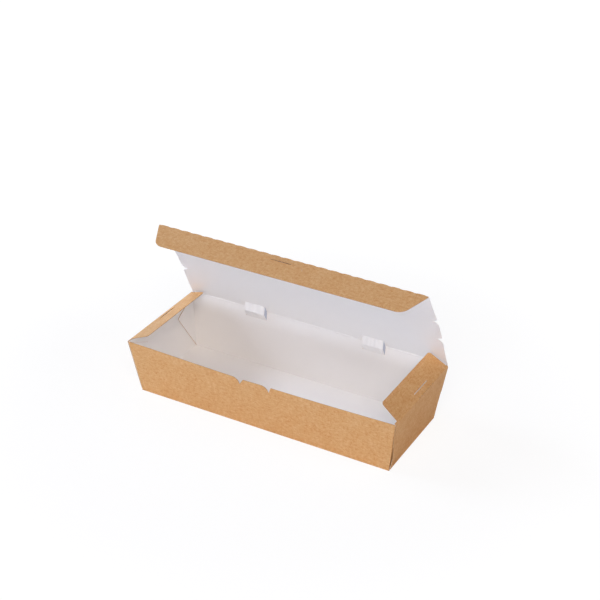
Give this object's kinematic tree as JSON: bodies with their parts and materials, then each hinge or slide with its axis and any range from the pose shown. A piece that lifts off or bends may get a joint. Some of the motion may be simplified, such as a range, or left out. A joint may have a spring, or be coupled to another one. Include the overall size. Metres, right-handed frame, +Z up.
{
  "type": "takeaway box",
  "caption": "Long shallow box folded from one sheet of brown board, white inside, with an open lid, tuck flap, end flaps and folded-in hinge straps.",
  "frame": {"origin": "centre of the underside, on the surface that the box stands on", "axes": "+X along the length towards the right end, +Y towards the lid's hinge, +Z up"},
  "size_m": [0.1998, 0.0794, 0.1099],
  "materials": {
    "tray_board": "uncoated brown outside, white coated inside",
    "lid_board": "uncoated brown outside, white coated inside",
    "tuck_board": "uncoated brown outside, white coated inside",
    "flap_board": "uncoated brown outside, white coated inside",
    "strap_board": "white coated face to the inside"
  },
  "bodies": {
    "tray": {"tray": "tray_board", "hinge_strap_right": "strap_board", "hinge_strap_left": "strap_board"},
    "lid": {"lid": "lid_board"},
    "tuck_flap": {"tuck_flap": "tuck_board"},
    "end_flap_right": {"end_flap_right": "flap_board"},
    "end_flap_left": {"end_flap_left": "flap_board"}
  },
  "joints": [
    {"name": "lid_hinge", "type": "hinge", "parent": "tray", "child": "lid", "pos_m": [0, 0.03976, 0.041], "axis": [-1, 0, 0], "range_deg": [-61.3, 56.7], "deforming": ["hinge_strap_right", "hinge_strap_left"]},
    {"name": "tuck_crease", "type": "hinge", "parent": "lid", "child": "tuck_flap", "pos_m": [0, 0.00211, 0.10977], "axis": [-1, 0, 0], "range_deg": [-29.5, 27.3]},
    {"name": "right_flap_crease", "type": "hinge", "parent": "tray", "child": "end_flap_right", "pos_m": [0.0999, 0, 0.0402], "axis": [0, 1, 0], "range_deg": [-61.3, 56.7]},
    {"name": "left_flap_crease", "type": "hinge", "parent": "tray", "child": "end_flap_left", "pos_m": [-0.0999, 0, 0.0402], "axis": [0, -1, 0], "range_deg": [-30.7, 28.4]}
  ],
  "couplings": [
    {"joint": "tuck_crease", "follows": "lid_hinge", "ratio": 0.48},
    {"joint": "right_flap_crease", "follows": "lid_hinge", "ratio": 1},
    {"joint": "left_flap_crease", "follows": "lid_hinge", "ratio": 0.5}
  ]
}
